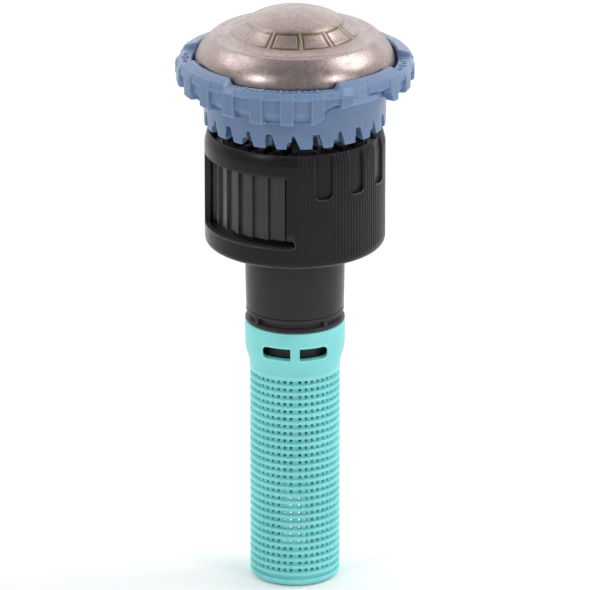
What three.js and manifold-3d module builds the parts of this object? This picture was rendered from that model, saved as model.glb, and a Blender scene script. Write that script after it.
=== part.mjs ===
// Adjustable rotating-stream nozzle that screws onto the riser of a pop up sprinkler, with its filter screen.
// Millimetres, +Z up, the screen's flat foot on z = 0 and the nozzle's axis on the Z axis.
// Angles are in degrees around +Z, counted from the front (-Y) towards the right (+X).

import * as THREE from 'three';
import { mergeVertices } from 'three/addons/utils/BufferGeometryUtils.js';
import Module from 'manifold-3d';

const wasm = await Module();
wasm.setup();

// ---- Driving dimensions ----

const GAP = 0.3; // clearance between pieces that touch or slide
const OVERLAP = 0.1; // how far joined shapes run into each other

const FINE = 48; // facets around the large pieces
const MEDIUM = 32; // facets around the neck and screen
const COARSE = 16; // facets around the small pieces
const HOLE_FACETS = 8; // facets around the drilled holes
const SECTOR_STEP = 12; // largest angle between the facets of a part ring

const SCREEN_R = 5.85;
const SCREEN_BAND_R = 6.43;
const SCREEN_WALL = 1.05;
const SCREEN_BAND_WALL = 1.1;
const SCREEN_FLOOR = 1.2;
const SCREEN_EDGE = 0.5;
const SCREEN_CONE_Z = 29.4;
const SCREEN_BAND_Z = 31.5;
const SCREEN_TOP_Z = 34.9;
const SCREEN_ROWS = 5;
const SCREEN_ROW_PITCH = 4;
const SCREEN_FIRST_ROW_Z = 7.2;
const SCREEN_SLOT_HEIGHT = 2;
const LATCH_SLOT_Z = [31.5, 33.15];
const LATCH_SLOT_HALF_ANGLES = [5.5, 40];

const COLLAR_R = 6.43;
const COLLAR_Z = [35.2, 36.9];
const COLLAR_POCKET_Z = [35.75, 36.55];
const COLLAR_POCKET_DEPTH = 0.5;
const COLLAR_FIRST_DIVIDER = -51.4;

const SPIGOT_R = 5;
const SPIGOT_BORE_R = 4.3;
const SPIGOT_Z = 31;
const NECK_R = 6.4;
const NECK_BORE_R = 4.9;
const NECK_FOOT_Z = 37.2;
const NECK_TOP_Z = 58.4;
const NECK_FLANGE_R = 9;
const NECK_FLANGE_Z = [56, 57];

const THREAD_R = 7.95; // bore that carries the 5/8 inch riser thread
const THREAD_WALL_R = 9;
const GASKET_Z = [54.8, 55.6];

const COVER_R = 11.55;
const COVER_BORE_R = 10.9;
const COVER_Z = [45.7, 60.8];
const COVER_FLOOR = 1.4;
const COVER_EDGE = 0.9;
const COVER_RIM_CHAMFER = [0.43, 1.3];
const WINDOW_ANGLES = [-86, -7];
const WINDOW_Z = [48.5, 58];
const WINDOW_NOTCH_ANGLE = 0;
const WINDOW_NOTCH_Z = 49.7;
const POCKET_ANGLES = [18.7, 43.2, 68.2];
const POCKET_HALF_ANGLE = 5.9;
const POCKET_DEPTH = 0.4;
const POCKET_Z = 55;

const DRUM_R = 10.6;
const DRUM_RIDGE = 0.45;
const DRUM_BORE_R = 9.3;
const DRUM_Z = [49.2, 59];
const DRUM_FACETS = 30;
const DRUM_FIRST_EDGE = -6.9;
const DRUM_WEB_Z = [57.3, 58.1];
const THROTTLE_Z = [55.4, 56.6];
const THROTTLE_R = 4.6;
const THROTTLE_BORE_R = 2.3;
const LUG_TIP_R = 6.1;
const LUG_HALF_WIDTH = 0.7;

const TEETH = 24;
const TOOTH_PITCH = 360 / TEETH;
const VALVE_R = [7.2, 9];
const VALVE_Z = [58.4, 59.9, 60.6]; // foot, tooth roots, tooth tips
const CROWN_R = [7.5, 8.8];
const CROWN_Z = [61.3, 62];
const CROWN_TOOTH_HALF = 3;
const PLATE_R = 6.9;
const PLATE_RIM = 0.9;
const PLATE_HOLES = { count: 6, circleR: 4.2, holeR: 0.9 };
const PLATE_Z = [58.7, 59.4];
const PLATE_RAMP = [59.6, 60.5];
const PLATE_RAMP_END = 356;
const PLATE_RAMP_STEP = 9;

const SHAFT_R = 1.6;
const SHAFT_BORE_R = SHAFT_R + GAP + 0.05;
const SHAFT_Z = [13, 71.8];
const SHAFT_TIP_R = 0.8;
const SHAFT_TIP_Z = 11;
const SHAFT_EDGE = 0.2;
const SHAFT_FLANGE_R = 2.8;
const SHAFT_FLANGE_Z = [60.75, 61.1];

const SPRING_R = 2.2;
const SPRING_WIRE_R = 0.25;
const SPRING_TURNS = 13;
const SPRING_Z = [15.85, 30.75];
const SPRING_SEAT_Z = [31.3, 32.3];
const SPRING_SEAT_HOLES = { count: 6, circleR: 2.95, holeR: 0.5 };
const SPRING_WASHER_R = 2.7;
const SPRING_WASHER_Z = [14.6, 15.3];
const LOWER_CLIP_R = 2.4;
const LOWER_CLIP_Z = [13.6, 14.3];

const THRUST_WASHER_Z = [61.4, 61.85];
const BUSHING_R = 2.7;
const BUSHING_Z = [62.15, 63.6];
const SEAL_R = 4;
const SEAL_Z = [63.9, 64.8];
const ROTOR_R = 5.8;
const ROTOR_GROOVE_R = 5.1;
const ROTOR_FOOT_Z = 65.2;
const ROTOR_FINS = 3;
const ROTOR_FIN_PITCH = 1.8;
const ROTOR_FIN_HEIGHT = 1.1;
const TOP_CLIP_R = 3.4;
const TOP_CLIP_Z = [70.9, 71.5];

const SKIRT_R = 11.6;
const SKIRT_BORE_R = 10.1;
const SKIRT_Z = 61.85;
const SKIRT_GAP_Z = 63.7;
const BAND_R = 14.8;
const GRIP_R = 15.2;
const BAND_BORE_R = 13;
const BAND_TOP_Z = 70.2;
const BAND_BEVEL = 0.45;
const BAND_FOOT_Z = 67.5;
const LOBE_FOOT_Z = 66.1;
const ARCH_TOP_Z = 69.1;
const WALL_SEGMENT_HEIGHT = 0.8;
const WALL_SEGMENTS = [[22, 67], [92, 137], [210, 255], [282, 323]];
const FIRST_GRIP = -4;
const GRIP_HALF_ANGLE = 3.4;
const HUB_R = 7.5;
const HUB_BORE_R = 6.3;
const HUB_Z = [62.4, 71.9];
const HUB_FLOOR = 1.2;
const HUB_FLANGE = 1; // height of the flange that carries the crown teeth
const WEB_Z = [67.6, 68.9];
const LID_R = 7.3;
const LID_Z = [72.2, 72.8];

const CAP_R = 12.7;
const CAP_FOOT_Z = 69.3;
const CAP_APEX_Z = 76.85;
const CAP_DOME_R = 13.6;
const CAP_DOME_EDGE_R = 6;
const CAP_SLOPE = [[12.7, 70.3], [12.25, 71.55], [11.3, 72.7], [10.5, 73.33], [8.8, 73.65], [7.4, 74.35]];
const CAP_WALL = 0.9;

// ---- Materials ----

const plastic = (name, color, roughness) => {
  return new THREE.MeshStandardMaterial({ name, color, roughness, metalness: 0 });
};
const metal = (name, color, roughness) => {
  return new THREE.MeshStandardMaterial({ name, color, roughness, metalness: 1 });
};

const MATERIALS = {
  stainless: metal('stainless_cap', 0x9d8f86, 0.4),
  blue: plastic('blue_plastic', 0x7894b3, 0.45),
  black: plastic('black_plastic', 0x2c2a2e, 0.4),
  charcoal: plastic('charcoal_plastic', 0x3b3a3e, 0.4),
  teal: plastic('teal_plastic', 0x74cfc3, 0.5),
  white: plastic('natural_plastic', 0xd8d6cf, 0.5),
  rubber: plastic('black_rubber', 0x1c1c1d, 0.8),
  brass: metal('brass', 0xb59a55, 0.35),
  steel: metal('bright_steel', 0xb9bcc0, 0.25),
};

// ---- Shape helpers ----

const radians = THREE.MathUtils.degToRad;

/** The point at radius r and height z, at an angle in degrees from the front. */
function around(r, angle, z) {
  const a = radians(angle);
  return [r * Math.sin(a), -r * Math.cos(a), z];
}

/** Turns a geometry into a solid that can be joined and cut. */
function solidOf(geometry) {
  const bare = new THREE.BufferGeometry();
  bare.setAttribute('position', geometry.getAttribute('position'));
  bare.setIndex(geometry.getIndex());
  const merged = mergeVertices(bare, 1e-4);
  const corners = merged.getIndex().array;
  const triVerts = [];
  for (let i = 0; i < corners.length; i += 3) {
    const [a, b, c] = corners.slice(i, i + 3);
    if (a !== b && b !== c && c !== a) {
      triVerts.push(a, b, c);
    }
  }
  const vertProperties = new Float32Array(merged.getAttribute('position').array);
  return new wasm.Manifold(new wasm.Mesh({ numProp: 3, vertProperties, triVerts: new Uint32Array(triVerts) }));
}

/** Turns a solid back into a geometry. */
function geometryOf(solid) {
  const { vertProperties, triVerts } = solid.getMesh();
  const geometry = new THREE.BufferGeometry();
  geometry.setAttribute('position', new THREE.BufferAttribute(vertProperties, 3));
  geometry.setIndex(new THREE.BufferAttribute(triVerts, 1));
  geometry.computeVertexNormals();
  return geometry;
}

/** A turned solid: its [r, z] outline runs up the outside and down the inside. */
function turned(outline, facets) {
  const points = [...outline, outline[0]].map(([r, z]) => new THREE.Vector2(r, z));
  return solidOf(new THREE.LatheGeometry(points, facets).rotateX(Math.PI / 2));
}

/** A plain ring or, with no inner radius, a plain disc. */
function ring([inner, outer], [low, high], facets) {
  return turned([[inner, low], [outer, low], [outer, high], [inner, high]], facets);
}

/** A ring whose [r, z] section changes with the angle; every section has the same number of points. */
function loftedRing(angles, sectionAt) {
  const positions = [];
  const index = [];
  const count = sectionAt(angles[0]).length;
  angles.forEach((angle, i) => {
    const next = (i + 1) % angles.length;
    sectionAt(angle).forEach(([r, z], j) => {
      const after = (j + 1) % count;
      positions.push(...around(r, angle, z));
      index.push(i * count + j, next * count + j, i * count + after);
      index.push(next * count + j, next * count + after, i * count + after);
    });
  });
  const geometry = new THREE.BufferGeometry();
  geometry.setAttribute('position', new THREE.Float32BufferAttribute(positions, 3));
  geometry.setIndex(index);
  return solidOf(geometry);
}

/** A block that fills part of a ring, between two angles. */
function sector([inner, outer], [from, to], [low, high]) {
  const steps = Math.ceil((to - from) / SECTOR_STEP);
  const outside = [];
  const inside = [];
  for (let i = 0; i <= steps; i += 1) {
    const angle = from + (to - from) * (i / steps);
    outside.push(new THREE.Vector2(...around(outer, angle, 0)));
    inside.unshift(new THREE.Vector2(...around(inner, angle, 0)));
  }
  const shape = new THREE.Shape([...outside, ...inside]);
  const geometry = new THREE.ExtrudeGeometry(shape, { depth: high - low, bevelEnabled: false });
  return solidOf(geometry.translate(0, 0, low));
}

/** Upright pins spread evenly on a circle, used to drill a ring of holes. */
function pinCircle({ count, circleR, holeR }, [low, high]) {
  let pins = null;
  for (let i = 0; i < count; i += 1) {
    const pin = new THREE.CylinderGeometry(holeR, holeR, high - low, HOLE_FACETS).rotateX(Math.PI / 2);
    const [x, y, z] = around(circleR, (i + 0.5) * (360 / count), (low + high) / 2);
    const placed = solidOf(pin.translate(x, y, z));
    pins = pins ? pins.add(placed) : placed;
  }
  return pins;
}

/** Angles around the circle where a toothed or ribbed ring has its corners. */
function repeatedAngles(count, offsets, start = 0) {
  const angles = [];
  for (let i = 0; i < count; i += 1) {
    offsets.forEach((offset) => angles.push(start + (360 / count) * i + offset));
  }
  return angles;
}

/** The signed angle from the middle of the nearest repeat. */
function fromNearest(angle, count, start = 0) {
  const pitch = 360 / count;
  return THREE.MathUtils.euclideanModulo(angle - start + pitch / 2, pitch) - pitch / 2;
}

/** The shortest way from one angle to another, in degrees. */
function turnBetween(from, to) {
  return THREE.MathUtils.euclideanModulo(to - from + 180, 360) - 180;
}

// ---- Filter screen and its collar ----

/** The closed-bottom screen: a slotted basket below a plain band with two pairs of latch slots. */
function makeScreen() {
  const inner = SCREEN_R - SCREEN_WALL;
  const bandInner = SCREEN_BAND_R - SCREEN_BAND_WALL;
  let screen = turned([
    [0, 0],
    [SCREEN_R - SCREEN_EDGE, 0],
    [SCREEN_R, SCREEN_EDGE],
    [SCREEN_R, SCREEN_CONE_Z],
    [SCREEN_BAND_R, SCREEN_BAND_Z],
    [SCREEN_BAND_R, SCREEN_TOP_Z],
    [bandInner, SCREEN_TOP_Z],
    [bandInner, SPIGOT_Z - GAP],
    [inner, SCREEN_CONE_Z],
    [inner, SCREEN_FLOOR],
    [0, SCREEN_FLOOR],
  ], MEDIUM);
  const reach = [inner - 1, SCREEN_BAND_R + 1];
  for (let row = 0; row < SCREEN_ROWS; row += 1) {
    const low = SCREEN_FIRST_ROW_Z + row * SCREEN_ROW_PITCH;
    for (let quarter = 0; quarter < 4; quarter += 1) {
      const span = [quarter * 90 + 8, quarter * 90 + 82];
      screen = screen.subtract(sector(reach, span, [low, low + SCREEN_SLOT_HEIGHT]));
    }
  }
  const [near, far] = LATCH_SLOT_HALF_ANGLES;
  [0, 180].forEach((middle) => {
    screen = screen.subtract(sector(reach, [middle - far, middle - near], LATCH_SLOT_Z));
    screen = screen.subtract(sector(reach, [middle + near, middle + far], LATCH_SLOT_Z));
  });
  return screen;
}

/** The collar above the screen, with four pockets between its dividers. */
function makeScreenCollar() {
  const [low, high] = COLLAR_Z;
  let collar = turned([
    [SPIGOT_R + GAP, low],
    [COLLAR_R - 0.35, low],
    [COLLAR_R, low + 0.35],
    [COLLAR_R, high],
    [SPIGOT_R + GAP, high],
  ], MEDIUM);
  for (let i = 0; i < 4; i += 1) {
    const span = [COLLAR_FIRST_DIVIDER + i * 90 + 5, COLLAR_FIRST_DIVIDER + i * 90 + 85];
    collar = collar.subtract(sector([COLLAR_R - COLLAR_POCKET_DEPTH, COLLAR_R + 1], span, COLLAR_POCKET_Z));
  }
  return collar;
}

// ---- Neck, riser thread and cover ----

/** The neck: a tube with a narrower spigot for the screen, a flange, and notches for the throttle's lugs. */
function makeNeck() {
  const [flangeLow, flangeHigh] = NECK_FLANGE_Z;
  let neck = turned([
    [SPIGOT_BORE_R, SPIGOT_Z],
    [SPIGOT_R, SPIGOT_Z],
    [SPIGOT_R, NECK_FOOT_Z],
    [NECK_R - 0.15, NECK_FOOT_Z],
    [NECK_R, NECK_FOOT_Z + 2],
    [NECK_R, flangeLow],
    [NECK_FLANGE_R, flangeLow],
    [NECK_FLANGE_R, flangeHigh],
    [NECK_R, flangeHigh],
    [NECK_R, NECK_TOP_Z],
    [NECK_BORE_R, NECK_TOP_Z],
    [NECK_BORE_R, NECK_FOOT_Z],
    [SPIGOT_BORE_R, NECK_FOOT_Z],
  ], MEDIUM);
  const width = 2 * (LUG_HALF_WIDTH + GAP);
  const height = NECK_TOP_Z - THROTTLE_Z[0] + 2 * GAP;
  const notch = new THREE.BoxGeometry(2 * (NECK_R + GAP), width, height);
  neck = neck.subtract(solidOf(notch.translate(0, 0, NECK_TOP_Z + GAP - height / 2)));
  return neck;
}

/** The socket wall that carries the riser's female thread. */
function makeThreadedBase() {
  return ring([THREAD_R, THREAD_WALL_R], [COVER_Z[0], NECK_FLANGE_Z[0] - GAP], FINE);
}

/** The gasket at the top of the riser socket. */
function makeRiserGasket() {
  return ring([NECK_R + GAP, THREAD_R - GAP], GASKET_Z, MEDIUM);
}

/** The open-topped cover, with two windows onto the radius ring and three grip pockets beside each. */
function makeCover() {
  const [low, high] = COVER_Z;
  const [chamferIn, chamferDown] = COVER_RIM_CHAMFER;
  const floorBore = THREAD_WALL_R + GAP;
  let cover = turned([
    [floorBore, low],
    [COVER_R - COVER_EDGE, low],
    [COVER_R - COVER_EDGE * 0.3, low + COVER_EDGE * 0.3],
    [COVER_R, low + COVER_EDGE],
    [COVER_R, high - chamferDown],
    [COVER_R - chamferIn, high],
    [COVER_BORE_R, high],
    [COVER_BORE_R, low + COVER_FLOOR],
    [floorBore, low + COVER_FLOOR],
  ], FINE);
  const through = [COVER_BORE_R - 0.2, COVER_R + 1];
  const [from, to] = WINDOW_ANGLES;
  [0, 180].forEach((side) => {
    cover = cover.subtract(sector(through, [side + from, side + to], WINDOW_Z));
    const notch = sector(through, [side + to - 1, side + WINDOW_NOTCH_ANGLE], [WINDOW_Z[0], WINDOW_NOTCH_Z]);
    cover = cover.subtract(notch);
    POCKET_ANGLES.forEach((angle) => {
      const span = [side + angle - POCKET_HALF_ANGLE, side + angle + POCKET_HALF_ANGLE];
      cover = cover.subtract(sector([COVER_R - POCKET_DEPTH, COVER_R + 1], span, [POCKET_Z, high + 1]));
    });
  });
  return cover;
}

// ---- Radius ring, throttle and arc valve ----

/** The ribbed ring turned by hand through the windows: a saw-tooth drum on an inner web. */
function makeRadiusRing() {
  const [low, high] = DRUM_Z;
  const pitch = 360 / DRUM_FACETS;
  const angles = repeatedAngles(DRUM_FACETS, [0, pitch - 1.2], DRUM_FIRST_EDGE);
  const drum = loftedRing(angles, (angle) => {
    const along = THREE.MathUtils.euclideanModulo(angle - DRUM_FIRST_EDGE + 0.1, pitch);
    const outer = along < 1 ? DRUM_R - DRUM_RIDGE : DRUM_R;
    return [[DRUM_BORE_R, low], [outer, low], [outer, high], [DRUM_BORE_R, high]];
  });
  return drum.add(ring([NECK_R + GAP, DRUM_BORE_R + OVERLAP], DRUM_WEB_Z, FINE));
}

/** The throttle: a ring in the neck's bore with two lugs that reach through the neck's notches. */
function makeThrottle() {
  const [low, high] = THROTTLE_Z;
  const lugs = new THREE.BoxGeometry(2 * LUG_TIP_R, 2 * LUG_HALF_WIDTH, high - low - 0.2);
  const body = ring([THROTTLE_BORE_R, THROTTLE_R], THROTTLE_Z, COARSE);
  const bore = ring([0, THROTTLE_BORE_R], [low - 1, high + 1], COARSE);
  return body.add(solidOf(lugs.translate(0, 0, (low + high) / 2))).subtract(bore);
}

/** The arc valve sleeve: a ring with a crown of teeth that the pressed deflector turns. */
function makeValveSleeve() {
  const [inner, outer] = VALVE_R;
  const [foot, root, tip] = VALVE_Z;
  const angles = repeatedAngles(TEETH, [-3.4, -2.4, 2.4, 3.4]);
  return loftedRing(angles, (angle) => {
    const top = Math.abs(fromNearest(angle, TEETH)) < CROWN_TOOTH_HALF ? tip : root;
    return [[inner, foot], [outer, foot], [outer, top], [inner, top]];
  });
}

/** The fixed nozzle plate: a drilled disc with one helical ramp around its edge. */
function makeNozzlePlate() {
  const [low, high] = PLATE_Z;
  const [rampLow, rampHigh] = PLATE_RAMP;
  const rimInner = PLATE_R - PLATE_RIM;
  const disc = ring([SHAFT_BORE_R, rimInner + OVERLAP], PLATE_Z, MEDIUM);
  const angles = [];
  for (let angle = 0; angle < PLATE_RAMP_END; angle += PLATE_RAMP_STEP) {
    angles.push(angle);
  }
  const ramp = loftedRing([...angles, PLATE_RAMP_END], (angle) => {
    const top = rampLow + (rampHigh - rampLow) * (angle / PLATE_RAMP_END);
    return [[rimInner, low], [PLATE_R, low], [PLATE_R, top], [rimInner, top]];
  });
  return disc.add(ramp).subtract(pinCircle(PLATE_HOLES, [low - 1, high + 1]));
}

// ---- Shaft, spring and brake ----

/** The shaft, with a thin tip inside the screen and the flange that lifts the deflector. */
function makeShaft() {
  const [low, high] = SHAFT_Z;
  const [flangeLow, flangeHigh] = SHAFT_FLANGE_Z;
  return turned([
    [0, SHAFT_TIP_Z],
    [SHAFT_TIP_R - SHAFT_EDGE, SHAFT_TIP_Z],
    [SHAFT_TIP_R, SHAFT_TIP_Z + SHAFT_EDGE],
    [SHAFT_TIP_R, low],
    [SHAFT_R, low],
    [SHAFT_R, flangeLow],
    [SHAFT_FLANGE_R, flangeLow],
    [SHAFT_FLANGE_R, flangeHigh],
    [SHAFT_R, flangeHigh],
    [SHAFT_R, high],
    [0, high],
  ], COARSE);
}

/** A helix around the Z axis. */
class Helix extends THREE.Curve {
  constructor(radius, turns, low, high) {
    super();
    Object.assign(this, { radius, turns, low, high });
  }

  getPoint(t, target = new THREE.Vector3()) {
    const angle = 360 * this.turns * t;
    return target.set(...around(this.radius, angle, this.low + (this.high - this.low) * t));
  }
}

/** The return spring, squeezed when the deflector is pulled up. */
function makeReturnSpring() {
  const wire = new THREE.Shape().absarc(0, 0, SPRING_WIRE_R, 0, 2 * Math.PI);
  const helix = new Helix(SPRING_R, SPRING_TURNS, ...SPRING_Z);
  const steps = SPRING_TURNS * 10;
  const geometry = new THREE.ExtrudeGeometry(wire, { steps, extrudePath: helix, curveSegments: 3 });
  return solidOf(geometry);
}

/** The fixed seat above the spring, drilled for the water. */
function makeSpringSeat() {
  const [low, high] = SPRING_SEAT_Z;
  const seat = ring([SHAFT_BORE_R, SPIGOT_BORE_R - GAP], SPRING_SEAT_Z, COARSE);
  return seat.subtract(pinCircle(SPRING_SEAT_HOLES, [low - 1, high + 1]));
}

/** The brake rotor: a finned drum that stands still in the grease chamber. */
function makeBrakeRotor() {
  const outline = [[SHAFT_BORE_R, ROTOR_FOOT_Z]];
  for (let fin = 0; fin < ROTOR_FINS; fin += 1) {
    const low = ROTOR_FOOT_Z + fin * ROTOR_FIN_PITCH;
    const high = low + ROTOR_FIN_HEIGHT;
    outline.push([ROTOR_R, low], [ROTOR_R, high], [ROTOR_GROOVE_R, high], [ROTOR_GROOVE_R, low + ROTOR_FIN_PITCH]);
  }
  outline.push([SHAFT_BORE_R, ROTOR_FOOT_Z + ROTOR_FINS * ROTOR_FIN_PITCH]);
  return turned(outline, COARSE);
}

// ---- Deflector and cap ----

/** How far the band reaches down at an angle: a deep front and back lobe, and an arch beside each. */
function bandFoot(angle) {
  const lobe = Math.abs(turnBetween(-8, angle)) < 90 ? turnBetween(-8, angle) : turnBetween(172, angle);
  const arch = (lobe - 46) / 15;
  if (Math.abs(arch) < 1) {
    return ARCH_TOP_Z - (ARCH_TOP_Z - BAND_FOOT_Z) * arch * arch;
  }
  const blend = THREE.MathUtils.smoothstep(Math.abs(lobe), 22, 44);
  return LOBE_FOOT_Z + (BAND_FOOT_Z - LOBE_FOOT_Z) * blend;
}

/** The blue moulding: a grip band, a web, a skirt with flow channels, a hub, and crown teeth under it. */
function makeDeflector() {
  const [hubLow, hubHigh] = HUB_Z;
  const [webLow, webHigh] = WEB_Z;
  const shaftBore = SHAFT_FLANGE_R + GAP;
  const floorTop = hubLow + HUB_FLOOR;
  const crownFoot = hubLow + HUB_FLANGE;
  const body = turned([
    [shaftBore, hubLow],
    [CROWN_R[1], hubLow],
    [CROWN_R[1], crownFoot],
    [HUB_R, crownFoot],
    [HUB_R, webLow],
    [BAND_BORE_R + OVERLAP, webLow],
    [BAND_BORE_R + OVERLAP, webHigh],
    [HUB_R, webHigh],
    [HUB_R, hubHigh],
    [HUB_BORE_R, hubHigh],
    [HUB_BORE_R, floorTop],
    [shaftBore, floorTop],
  ], FINE);

  const skirtAngles = repeatedAngles(TEETH, [-3.6, -1.6, 1.2, 4]);
  const skirt = loftedRing(skirtAngles, (angle) => {
    const low = Math.abs(fromNearest(angle, TEETH)) < 2 ? SKIRT_GAP_Z : SKIRT_Z;
    const top = webLow + OVERLAP;
    return [[SKIRT_BORE_R, low], [SKIRT_R, low], [SKIRT_R, top], [SKIRT_BORE_R, top]];
  });

  const gripAngles = repeatedAngles(TEETH, [-GRIP_HALF_ANGLE - 0.8, -GRIP_HALF_ANGLE, GRIP_HALF_ANGLE,
    GRIP_HALF_ANGLE + 0.8], FIRST_GRIP);
  const band = loftedRing(gripAngles, (angle) => {
    const onGrip = Math.abs(fromNearest(angle, TEETH, FIRST_GRIP)) < GRIP_HALF_ANGLE + 0.4;
    const outer = onGrip ? GRIP_R : BAND_R;
    const foot = bandFoot(angle);
    return [
      [BAND_BORE_R, foot],
      [outer, foot],
      [outer, BAND_TOP_Z - BAND_BEVEL],
      [outer - BAND_BEVEL, BAND_TOP_Z],
      [BAND_BORE_R, BAND_TOP_Z],
    ];
  });

  const crownAngles = repeatedAngles(TEETH, [-3.4, -2.4, 2.4, 3.4], TOOTH_PITCH / 2);
  const crown = loftedRing(crownAngles, (angle) => {
    const onTooth = Math.abs(fromNearest(angle, TEETH, TOOTH_PITCH / 2)) < CROWN_TOOTH_HALF;
    const low = onTooth ? CROWN_Z[0] : CROWN_Z[1];
    const top = hubLow + OVERLAP;
    return [[CROWN_R[0], low], [CROWN_R[1] - OVERLAP, low], [CROWN_R[1] - OVERLAP, top], [CROWN_R[0], top]];
  });

  let deflector = body.add(skirt).add(band).add(crown);
  WALL_SEGMENTS.forEach((span) => {
    const wall = [BAND_TOP_Z - OVERLAP, BAND_TOP_Z + WALL_SEGMENT_HEIGHT];
    deflector = deflector.add(sector([BAND_BORE_R, BAND_R - BAND_BEVEL - OVERLAP], span, wall));
  });
  return deflector;
}

/** The cap's outer outline from its foot to its apex: a rolled edge, a shallow trough, a slope and a dome. */
function capOutline() {
  const outline = [[CAP_R, CAP_FOOT_Z], ...CAP_SLOPE];
  const domeTop = CAP_APEX_Z - CAP_DOME_R;
  for (let r = CAP_DOME_EDGE_R; r > 0; r -= CAP_DOME_EDGE_R / 4) {
    outline.push([r, domeTop + Math.sqrt(CAP_DOME_R ** 2 - r ** 2)]);
  }
  return [...outline, [0, CAP_APEX_Z]];
}

/** The stainless cap: a pressed shell, open underneath. */
function makeCap() {
  const [rollFoot, , rollTop, , troughEdge] = CAP_SLOPE;
  const inside = [
    [0, CAP_APEX_Z - CAP_WALL],
    [troughEdge[0], troughEdge[1] - CAP_WALL],
    [rollTop[0] - CAP_WALL / 2, rollTop[1] - CAP_WALL],
    [CAP_R - CAP_WALL, rollFoot[1]],
    [CAP_R - CAP_WALL, CAP_FOOT_Z],
  ];
  return turned([...capOutline(), ...inside], FINE);
}

// ---- Assembly ----

const nozzle = new THREE.Group();

/** Adds one sub-part to the nozzle under its own name. */
function addPart(name, solid, material) {
  const mesh = new THREE.Mesh(geometryOf(solid), material);
  mesh.name = name;
  nozzle.add(mesh);
}

addPart('screen', makeScreen(), MATERIALS.teal);
addPart('screen_collar', makeScreenCollar(), MATERIALS.charcoal);
addPart('inlet_neck', makeNeck(), MATERIALS.charcoal);
addPart('threaded_base', makeThreadedBase(), MATERIALS.black);
addPart('riser_gasket', makeRiserGasket(), MATERIALS.rubber);
addPart('nozzle_cover', makeCover(), MATERIALS.black);
addPart('nozzle_plate', makeNozzlePlate(), MATERIALS.charcoal);
addPart('spring_seat', makeSpringSeat(), MATERIALS.white);

addPart('radius_ring', makeRadiusRing(), MATERIALS.black);
addPart('throttle_ring', makeThrottle(), MATERIALS.white);
addPart('arc_valve_sleeve', makeValveSleeve(), MATERIALS.charcoal);

addPart('shaft', makeShaft(), MATERIALS.steel);
addPart('lower_clip', ring([SHAFT_BORE_R, LOWER_CLIP_R], LOWER_CLIP_Z, COARSE), MATERIALS.steel);
addPart('spring_washer', ring([SHAFT_BORE_R, SPRING_WASHER_R], SPRING_WASHER_Z, COARSE), MATERIALS.steel);
addPart('return_spring', makeReturnSpring(), MATERIALS.steel);
addPart('thrust_washer', ring([SHAFT_BORE_R, SHAFT_FLANGE_R], THRUST_WASHER_Z, COARSE), MATERIALS.white);
addPart('brake_rotor', makeBrakeRotor(), MATERIALS.white);
addPart('top_clip', ring([SHAFT_BORE_R, TOP_CLIP_R], TOP_CLIP_Z, COARSE), MATERIALS.steel);

addPart('deflector', makeDeflector(), MATERIALS.blue);
addPart('shaft_bushing', ring([SHAFT_BORE_R, BUSHING_R], BUSHING_Z, COARSE), MATERIALS.brass);
addPart('shaft_seal', ring([SHAFT_BORE_R, SEAL_R], SEAL_Z, COARSE), MATERIALS.rubber);
addPart('chamber_lid', ring([0, LID_R], LID_Z, MEDIUM), MATERIALS.white);
addPart('cap', makeCap(), MATERIALS.stainless);

export default nozzle;
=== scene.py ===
"""Looks of the rotating-stream nozzle: detailed shells, procedural materials, studio and camera.

Shapes are in millimetres, with angles in degrees from the front (-Y) towards the right (+X), and
polar() turns them into points of the frame in metres. Studio and camera are in metres.
"""
import bisect
import math

import bmesh
import bpy
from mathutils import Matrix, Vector


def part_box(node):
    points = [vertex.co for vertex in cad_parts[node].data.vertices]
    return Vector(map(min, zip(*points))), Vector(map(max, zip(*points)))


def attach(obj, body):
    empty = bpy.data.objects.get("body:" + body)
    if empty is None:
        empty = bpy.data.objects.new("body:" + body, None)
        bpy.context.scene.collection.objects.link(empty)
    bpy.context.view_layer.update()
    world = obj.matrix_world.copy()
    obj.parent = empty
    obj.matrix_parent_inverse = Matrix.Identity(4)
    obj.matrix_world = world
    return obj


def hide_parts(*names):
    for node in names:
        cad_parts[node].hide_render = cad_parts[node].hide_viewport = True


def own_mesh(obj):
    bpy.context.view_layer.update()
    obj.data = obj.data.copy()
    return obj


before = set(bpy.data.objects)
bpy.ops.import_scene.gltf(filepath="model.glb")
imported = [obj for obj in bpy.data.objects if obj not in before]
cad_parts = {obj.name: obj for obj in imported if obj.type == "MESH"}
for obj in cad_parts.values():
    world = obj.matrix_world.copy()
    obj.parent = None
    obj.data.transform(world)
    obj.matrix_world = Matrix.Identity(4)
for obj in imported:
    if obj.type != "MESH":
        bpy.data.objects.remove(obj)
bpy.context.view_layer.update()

MM = 0.001
OVERLAP = 0.05

# ---------------------------------------------------------------- helpers: sizes and curves


def span(node):
    """The largest radius, the foot and the top of a CAD node, in millimetres."""
    low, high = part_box(node)
    return high.x / MM, low.z / MM, high.z / MM


def polar(r, angle, z):
    """A point in metres from a radius and height in millimetres and an angle in degrees."""
    a = math.radians(angle)
    return (r * math.sin(a) * MM, -r * math.cos(a) * MM, z * MM)


def smooth(t):
    """Eases from 0 to 1."""
    t = min(max(t, 0.0), 1.0)
    return t * t * (3 - 2 * t)


def turn(start, angle):
    """The shortest way from one angle to another, in degrees."""
    return (angle - start + 180) % 360 - 180


def eased(points, x):
    """A smooth line through (x, y) points."""
    places = [p[0] for p in points]
    if x <= places[0]:
        return points[0][1]
    if x >= places[-1]:
        return points[-1][1]
    i = bisect.bisect_right(places, x)
    (x0, y0), (x1, y1) = points[i - 1], points[i]
    return y0 + (y1 - y0) * smooth((x - x0) / (x1 - x0))


def steps(start, end, pitch):
    """Evenly spaced values from start to end, both included."""
    count = max(1, round(abs(end - start) / pitch))
    return [start + (end - start) * i / count for i in range(count + 1)]


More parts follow.
